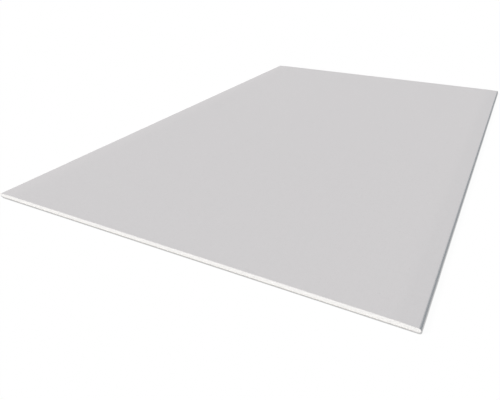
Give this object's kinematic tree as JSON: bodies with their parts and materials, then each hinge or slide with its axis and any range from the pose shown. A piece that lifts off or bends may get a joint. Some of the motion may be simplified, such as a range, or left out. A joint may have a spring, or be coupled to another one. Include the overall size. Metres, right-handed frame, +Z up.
{
  "type": "drywall sheet",
  "caption": "Flat rectangular gypsum board with paper faces, long edges rounded and tapered towards the face, and short ends cut square.",
  "frame": {"origin": "under the middle of the sheet, on the plane that its back rests on", "axes": "+X across the width, +Y along the length between the cut ends, +Z up, out of the finish face"},
  "size_m": [1.25, 2, 0.0125],
  "materials": {
    "gypsum": "matte",
    "face_paper": "matte",
    "back_paper": "matte"
  },
  "bodies": {
    "root": {"gypsum_core": "gypsum", "face_paper": "face_paper", "back_paper": "back_paper"}
  },
  "joints": []
}
